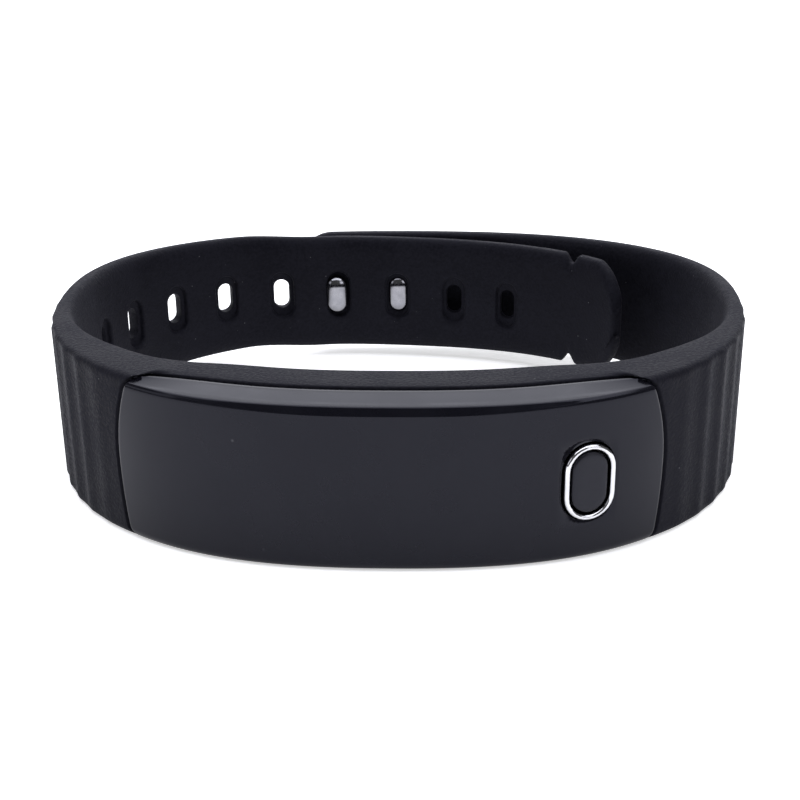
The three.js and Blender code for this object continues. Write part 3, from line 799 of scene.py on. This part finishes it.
# outer strap, in two pieces that meet at two seams
def outerSection(s):
    p = rearMiddle - s
    inset = float(edgeInset(s))
    past = max(0.0, strap["corner"] - (p + strap["end"])) / strap["corner"]
    draw = strap["corner"] * (1 - math.sqrt(max(0.0, 1 - past * past)))
    depth = float(outerStrapDepth(p))
    noseAlong, noseIn = strap["nose"]
    nose = max(0.0, 1 - (p + strap["end"]) / noseAlong)
    thin = noseIn * (1 - math.sqrt(max(0.0, 1 - nose * nose)))
    edge = min(strap["edge"], (depth - 2 * thin) * 0.48)
    full = float(smooth(-strap["end"], -strap["end"] + 5, p))
    soft = float(smooth(*strap["softFrom"], p))
    return {
        "outer": lambda s, z: thin, "inner": depth - thin, "bottom": inset + draw,
        "top": loop["height"] - inset - draw, "middle": midHeight, "reach": lerp(1.2, holeRow["rows"], full),
        "outerEdge": edge, "outerRatio": 1.0, "innerEdge": lerp(edge, core["softEdge"][0], soft),
        "innerDepth": lerp(edge, core["softEdge"][1], soft),
        "warp": lambda s, z: s,
    }


link = {"from": core["to"], "to": rearMiddle - 8.75, "step": 0.6}
shell = newShell()
linkRun = [link["from"], link["from"] + 0.06] + spaced(link["from"] + 0.5, link["to"] - 0.5, link["step"])
linkRun += [link["to"] - 0.06, link["to"]]
sweepBand(shell, linkRun, outerSection, [], bandRows)
strapLink = makeObject("outer_strap_flex", shell, at, siliconeBlack)
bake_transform(strapLink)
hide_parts("peg_strap_link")

shell = newShell()
endRun = [link["to"], link["to"] + 0.06] + spaced(link["to"] + 0.5, rearMiddle + strap["end"] - 4, 0.6)
noseSteps = (3.4, 2.8, 2.2, 1.7, 1.25, 0.9, 0.6, 0.38, 0.22, 0.1, 0.03, 0.0)
endRun += [rearMiddle + strap["end"] - d for d in noseSteps]
sweepBand(shell, endRun, outerSection, [], strapRows)
strapEnd = makeObject("outer_strap_end", shell, at, siliconeBlack)
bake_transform(strapEnd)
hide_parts("peg_strap_end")
print("outer strap made")


# tail, the inner strap with the holes
def tailDepth(p):
    lean = max(0.0, (p - tail["leanFrom"]) / 33) ** 1.15
    return tail["step"] * float(smooth(-20.5, -11.5, p)) + tail["lean"] * lean


def tailHalf(p):
    past = min(0.985, max(0.0, p - (tail["end"] - tail["tip"])) / tail["tip"])
    slim = tail["slim"] * float(smooth(tail["leanFrom"], tail["end"], p))
    half = midHeight - loop["rearTaper"] - slim
    # before the tail proper the edges follow the band's own taper
    half = lerp(midHeight - float(edgeInset(-p - rearMiddle)), half, float(smooth(-22, -12, p)))
    rounded = min(half, half * math.sqrt(1 - past ** tail["tipPower"]) + 0.35)
    fromNotch = min(0.5, abs(p - tail["notch"]) / tail["notchWidth"])
    return rounded - tail["notchDepth"] * math.cos(fromNotch * math.pi) ** 2


def tailSection(s):
    p = -s - rearMiddle
    half = tailHalf(p)
    thickness = lerp(core["strap"], tail["thickness"], float(smooth(-26, -18, p)))
    outer = tailDepth(p)
    noseAlong, noseIn = tail["nose"]
    nose = max(0.0, 1 - (tail["end"] - p) / noseAlong)
    thin = noseIn * (1 - math.sqrt(max(0.0, 1 - nose * nose)))
    broad = float(smooth(-26, -14, p))
    body = thickness - 2 * thin
    edge = min(tail["edge"], body * 0.45, half * 0.3)
    return {
        "outer": lambda s, z: outer + thin, "inner": outer + thickness - thin,
        "bottom": midHeight - half, "top": midHeight + half,
        "middle": float(holeMiddle(p)), "reach": min(holeRow["rows"], half * 0.52),
        "outerEdge": edge, "outerRatio": 1.0,
        "innerEdge": min(lerp(core["softEdge"][0], tail["softEdge"][0], broad), half * 0.42),
        "innerDepth": min(lerp(core["softEdge"][1], tail["softEdge"][1], broad), body * 0.5),
        "warp": lambda s, z: s,
    }


tailHoles = [holeAt(p, tail["thickness"]) for p in holeRow["places"] if p > core["tailSeam"]]
marks = holeMarks(tailHoles, -(rearMiddle + tail["end"] - 7.5), core["from"] - 0.06)
marks += [(core["from"], None)]
tipRun = [-(rearMiddle + tail["end"] - d) for d in (0.0, 0.03, 0.1, 0.22, 0.4, 0.6, 0.85, 1.15, 1.5)]
tipRun += spaced(-(rearMiddle + tail["end"] - 1.9), -(rearMiddle + tail["end"] - 7.1), 0.35)
notchRun = spaced(-(rearMiddle + tail["notch"] + 1.5), -(rearMiddle + tail["notch"] - 1.5), 0.2)
plainRun = [s for s in stationList(marks, 0.6) if all(abs(s - n) > 0.12 for n in tipRun)]
tailRun = sorted(set(tipRun + plainRun))
tailRun = [s for s in tailRun if not notchRun[0] - 0.1 < s < notchRun[-1] + 0.1] + notchRun
shell = newShell()
sweepBand(shell, sorted(tailRun), tailSection, tailHoles, bandRows)
tailStrap = makeObject("tail_strap_skin", shell, at, siliconeBlack)
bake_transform(tailStrap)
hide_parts("tail_strap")
print("tail made:", len(tailStrap.data.polygons), "faces")


# front cover
button = {
    "at": 17.55,
    "height": 7.6,
    "opening": (5.0, 7.4),
    "ring": (4.8, 7.2),
    "inside": (3.8, 6.2),
    "cap": (3.4, 5.8),
    "ringFace": -0.9,
    "ringRound": 0.28,
    "ringRear": 0.8,
    "capFace": -0.8,
    "stem": 1.8,
    "stemEnd": 1.5,
}


def coverSection(s):
    shift, rear = float(coverShift(s)), float(coverRear(s))
    roundAlong, roundBack = cover["endRound"]
    past = min(1.0, max(0.0, abs(s) - (cover["end"] - roundAlong)) / roundAlong)
    front = shift + roundBack * (1 - math.sqrt(max(0.0, 1 - past * past)))
    hollow = abs(s) < cover["shell"]
    back = front + cover["wall"] + 0.05 if hollow else rear
    runOut = float(smooth(5, 21, abs(s)))
    behind, slopeZ = (lerp(a, b, runOut) for a, b in zip(cover["topSlope"], cover["endSlope"]))
    chamfer = lerp(*cover["chamfer"], runOut)
    behind = min(behind, (rear - front) * 0.45)
    lip, low = cover["lip"], cover["topEdge"]
    top = loop["height"] - low
    lowBack, lowUp = cover["lowRound"]

    def path(_):
        edge = front + behind
        points = [(lerp(front, edge, t), lerp(chamfer, slopeZ, t)) for t in (0.06, 0.35, 0.65, 0.94)]
        points += [(edge + 0.03, slopeZ + 0.02)]
        points += [(lerp(edge, rear - lip, t), lerp(slopeZ, top, t)) for t in (0.08, 0.3, 0.6, 0.85, 1.0)]
        inside = min(rear, max(back, rear - 0.6)) if not hollow else rear
        points += [(rear - lip * 0.3, top - lip * 0.3), (rear, top - lip)]
        points += [(inside, top - 1.15), (back, 13.75)]
        return points

    def under(_):
        points = [(rear, 1.3), (rear, low + lip), (rear - lip * 0.3, low + lip * 0.3), (rear - lip, low)]
        points += [(lerp(rear - lip, front + lowBack, t), low) for t in (0.25, 0.5, 0.75, 1.0)]
        points += [(front + lowBack * (1 - math.sin(a)), low + lowUp * (1 - math.cos(a)))
                   for a in np.linspace(0, math.pi / 2, 7)[1:-1]]
        return points

    return {
        "outer": lambda s, z: front, "inner": back, "bottom": 0.0, "top": loop["height"],
        "middle": button["height"], "reach": 4.3, "path": path, "under": under, "warp": endWarp,
        "lowRows": [0.9, 1.0, 1.3, 1.9, 2.6, 3.3],
        "topRows": [11.9, 12.6, 13.4, 14.2, 14.6, chamfer],
    }


w, h = button["opening"]
opening = {"s": button["at"], "z": button["height"], "reach": 3.0, "rings": [
    (w, h, "inner", 0.0), (w, h, "outer", 0.3), (w + 0.06, h + 0.06, "outer", 0.06),
    (w + 0.16, h + 0.16, "outer", 0.0)]}
marks = [(-cover["end"], 0.05), (-cover["end"] + 0.4, 0.15), (-22.0, 0.4), (-19.0, 0.8),
         (button["at"] - 3, 0.6), (button["at"] + 3, 0.35), (22.0, 0.15), (cover["end"] - 0.4, 0.05),
         (cover["end"], None)]
shell = newShell()
sweepBand(shell, stationList(marks, 0.8, [-cover["shell"], cover["shell"]]), coverSection, [opening],
          {"side": 5, "hole": 12, "arc": 5})
frontCover = makeObject("front_cover_shell", shell, at, coverGloss)
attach(frontCover, "module_and_band")
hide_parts("front_cover")
print("cover made:", len(frontCover.data.polygons), "faces")


# stadium-shaped pieces
def stadiumLoop(width, height, count=14):
    # corner arcs and straight sides, always the same number of points
    if width > height:
        return [(v, -u) for u, v in stadiumLoop(height, width, count)]
    r, straight = width / 2, height / 2 - width / 2
    points = [(r * math.cos(a), straight + r * math.sin(a)) for a in np.linspace(0, math.pi, count + 1)]
    points += [(-r, straight * t) for t in (0.6, 0.2, -0.2, -0.6)]
    points += [(-r * math.cos(a), -straight - r * math.sin(a)) for a in np.linspace(0, math.pi, count + 1)]
    points += [(r, straight * t) for t in (-0.6, -0.2, 0.2, 0.6)]
    return points


def stadiumStack(name, levels, toSpace, material, closed=False):
    # levels: (width, height, depth); the first and last are capped unless the stack closes on itself
    shell = newShell()
    rings = []
    for width, height, depth in levels:
        rings.append(addRing(shell, [(u, depth, v) for u, v in stadiumLoop(width, height)]))
    for a, b in zip(rings[:-1], rings[1:]):
        bridge(shell, a, b)
    if closed:
        bridge(shell, rings[-1], rings[0])
    else:
        for ring, level in ((rings[0], levels[0]), (rings[-1], levels[-1])):
            middle = len(shell["points"])
            shell["points"].append((0.0, level[2], 0.0))
            for i in range(len(ring)):
                shell["faces"].append((ring[i], ring[(i + 1) % len(ring)], middle))
    return makeObject(name, shell, toSpace, material)


def flatPlace(s, z):
    # a flat frame square to the band at s: u along it, then depth, then v up
    x, y, tx, ty = station(s)

    def toSpace(u, depth, v):
        px = x + tx * u - ty * depth
        py = y + ty * u + tx * depth + loop["middleY"]
        return np.stack([px, py, z + v], -1) * 0.001
    return toSpace


pegs = {
    "middle": 5.1,
    "spacing": 7.45,
    "turn": 3.5,
    "height": 7.8,
    "head": (2.55, 4.5),
    "neck": (1.4, 3.0),
    "from": 1.25,
    "under": 3.05,
    "face": 4.2,
    "rim": 0.94,        # how much of the head's half width its dome takes
}
plate = {"width": 9.6, "height": 6.0, "from": 0.8, "thickness": 0.4}


def pegPlace(along):
    x, y, _, _ = station(rearMiddle + pegs["middle"])
    turn = math.radians(pegs["turn"])
    ux, uy = math.cos(turn), math.sin(turn)
    ix, iy = uy, -ux

    def toSpace(u, depth, v):
        px = x + ux * (along + u) + ix * depth
        py = y + uy * (along + u) + iy * depth + loop["middleY"]
        return np.stack([px, py, pegs["height"] + v], -1) * 0.001
    return toSpace


def domedLevels(width, height, start, face, dome, count=7):
    # from the widest level up over a dome that ends almost flat
    levels = []
    for i in range(count + 1):
        a = math.pi / 2 * i / count
        inset = dome * (1 - math.cos(a)) * 0.98
        levels.append((width - 2 * inset, height - 2 * inset, lerp(start, face, math.sin(a))))
    return levels


w, h = pegs["head"]
a, b = pegs["neck"]
for name, along in (("peg_left", -pegs["spacing"] / 2), ("peg_right", pegs["spacing"] / 2)):
    levels = [(a, b, pegs["from"]), (a, b, pegs["under"] - 0.2), (a + 0.1, b + 0.1, pegs["under"] - 0.06),
              (w - 0.5, h - 0.5, pegs["under"]), (w - 0.15, h - 0.15, pegs["under"] + 0.03),
              (w, h, pegs["under"] + 0.16)]
    levels += domedLevels(w, h, pegs["under"] + 0.35, pegs["face"], w / 2 * pegs["rim"])
    peg = stadiumStack(name + "_stud", levels, pegPlace(along), studSteel)
    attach(peg, "peg_strap_end")
    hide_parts(name)

plateLevels = []
for inset, depth in ((0.12, 0.0), (0.0, 0.06), (0.0, plate["thickness"] - 0.08),
                     (0.06, plate["thickness"] - 0.02), (0.2, plate["thickness"])):
    plateLevels.append((plate["width"] - 2 * inset, plate["height"] - 2 * inset, plate["from"] + depth))
claspPlate = stadiumStack("clasp_plate_sheet", plateLevels, pegPlace(0.0), brushedSteel)
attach(claspPlate, "peg_strap_end")
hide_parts("clasp_plate")

ow, oh = button["ring"]
iw, ih = button["inside"]
f = button["ringFace"]
ringLevels = [(ow, oh, button["ringRear"])]
for turn in np.linspace(0, math.pi, 13):
    inset = (ow - iw) / 2 * (1 - math.cos(turn))
    ringLevels.append((ow - inset, oh - inset, f + button["ringRound"] * (1 - math.sin(turn))))
ringLevels.append((iw, ih, button["ringRear"]))
buttonPlace = flatPlace(button["at"], button["height"])
buttonRing = stadiumStack("button_ring_trim", ringLevels, buttonPlace, ringChrome, closed=True)
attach(buttonRing, "module_and_band")
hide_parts("button_ring")

w, h = button["cap"]
f = button["capFace"]
stem = button["stem"]
capLevels = [(stem, stem, button["stemEnd"]), (stem, stem, 0.62), (w - 0.1, h - 0.1, 0.5), (w, h, 0.4)]
capLevels += [(w, h, f + 0.3)]
capLevels += [(w - 0.06, h - 0.06, f + 0.18), (w - 0.2, h - 0.2, f + 0.08), (w - 0.5, h - 0.5, f + 0.03),
              (w - 1.2, h - 1.2, f + 0.01), (w - 2.2, h - 2.2, f)]
buttonCap = stadiumStack("button_cap_pad", capLevels, buttonPlace, capSatin)
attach(buttonCap, "button")
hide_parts("button_cap")
print("button and clasp made")


# inner parts keep their CAD shapes
finishes = {
    "case_gasket": sealRubber, "button_seal": sealRubber, "battery_pad": sealRubber,
    "rear_shell": shellPlastic, "switch_body": chipBlack, "switch_plunger": brushedSteel,
    "button_board": boardGreen, "main_board": boardGreen, "display_panel": panelGlass,
    "processor": chipBlack, "motion_sensor": chipBlack, "power_chip": chipBlack,
    "radio_module": brushedSteel, "battery": cellWrap, "antenna": platedGold,
    "motor_can": brushedSteel, "motor_base": brushedSteel, "motor_weight": brushedSteel,
    "charge_contact_1": platedGold, "charge_contact_2": platedGold,
}
for i in (1, 2, 3, 4):
    finishes[f"case_screw_{i}"] = brushedSteel
for name, made in finishes.items():
    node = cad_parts[name]
    for place in node.material_slots:
        place.material = made


# camera, floor and light
view = {
    "place": (0.00620, -0.14012, 0.06111),
    "toward": (-0.02326, 0.91861, -0.39449),
    "lens": 64.96,
    "roll": -0.26,
    "shift": (-0.0325, 0.0385),
}


def placeCamera():
    data = bpy.data.cameras.new("camera")
    data.lens = view["lens"]
    data.sensor_width = 36.0
    data.shift_x, data.shift_y = view["shift"]
    data.clip_start = 0.005
    camera = bpy.data.objects.new("camera", data)
    toward = Vector(view["toward"]).normalized()
    right = toward.cross(Vector((0, 0, 1))).normalized()
    up = right.cross(toward)
    turn = math.radians(view["roll"])
    right, up = right * math.cos(turn) + up * math.sin(turn), up * math.cos(turn) - right * math.sin(turn)
    camera.matrix_world = Matrix((
        (right.x, up.x, -toward.x, view["place"][0]),
        (right.y, up.y, -toward.y, view["place"][1]),
        (right.z, up.z, -toward.z, view["place"][2]),
        (0, 0, 0, 1)))
    bpy.context.scene.collection.objects.link(camera)
    bpy.context.scene.camera = camera


lights = {
    # name: (place, aim, width, height, brightness)
    "overhead": ((0.0, 0.15, 0.80), (0, 0.02, 0), 1.4, 1.3, 2.5),
    "behind": ((0.0, 0.95, 0.42), (0, 0, 0.03), 1.8, 0.75, 1.7),
    "left": ((-0.80, -0.20, 0.30), (0, 0, 0.02), 0.6, 0.4, 1.0),
    "right": ((0.62, -0.48, 0.42), (0, 0, 0.02), 0.5, 0.36, 1.9),
}


def addLight(name, place, aim, width, height, brightness):
    data = bpy.data.lights.new(name, "AREA")
    data.shape = "RECTANGLE"
    data.size, data.size_y = width, height
    data.energy = brightness * math.pi * width * height
    data.color = (0.92, 0.93, 1.0)
    lamp = bpy.data.objects.new(name, data)
    lamp.location = place
    lamp.rotation_euler = (Vector(aim) - Vector(place)).to_track_quat("-Z", "Y").to_euler()
    bpy.context.scene.collection.objects.link(lamp)


ground = {
    "reach": 3.0,
    "tone": 0.93,
    "glow": 0.4,
    "lift": (0.12, 0.8),    # added where the camera sees it, near the band and away from it
    "sky": 0.12,
}


def addStage():
    mesh = bpy.data.meshes.new("floor")
    r = ground["reach"]
    mesh.from_pydata([(-r, -r, 0), (r, -r, 0), (r, r, 0), (-r, r, 0)], [], [(0, 1, 2, 3)])
    paper = bpy.data.materials.new("paper")
    paper.use_nodes = True
    main = paper.node_tree.nodes["Principled BSDF"]
    main.inputs["Base Color"].default_value = (*[ground["tone"]] * 3, 1)
    main.inputs["Roughness"].default_value = 0.9
    main.inputs["Specular IOR Level"].default_value = 0.1
    main.inputs["Emission Color"].default_value = (1, 1, 1, 1)
    # seen directly the paper lifts to white away from the band; the light it gives stays the same
    tree = paper.node_tree
    far = put(tree, "ShaderNodeVectorMath", operation="LENGTH")
    wire(tree, put(tree, "ShaderNodeTexCoord").outputs["Object"], far.inputs[0])
    lift = spread(tree, far.outputs["Value"], 0.05, 0.8, *ground["lift"])
    seen = put(tree, "ShaderNodeLightPath").outputs["Is Camera Ray"]
    glow = mathNode(tree, "ADD", mathNode(tree, "MULTIPLY", lift, seen), ground["glow"])
    wire(tree, glow, main.inputs["Emission Strength"])
    mesh.materials.append(paper)
    floor = bpy.data.objects.new("floor", mesh)
    bpy.context.scene.collection.objects.link(floor)
    world = bpy.data.worlds.new("studio")
    world.use_nodes = True
    sky = world.node_tree.nodes["Background"]
    sky.inputs["Color"].default_value = (1, 1, 1, 1)
    tree = world.node_tree
    seen = put(tree, "ShaderNodeLightPath").outputs["Is Camera Ray"]
    wire(tree, spread(tree, seen, 0.0, 1.0, ground["sky"], 1.0), sky.inputs["Strength"])
    bpy.context.scene.world = world
    bpy.context.scene.view_settings.view_transform = "Standard"


placeCamera()
addStage()
for name, values in lights.items():
    addLight(name, *values)
print("camera and light placed")

bpy.context.view_layer.update()
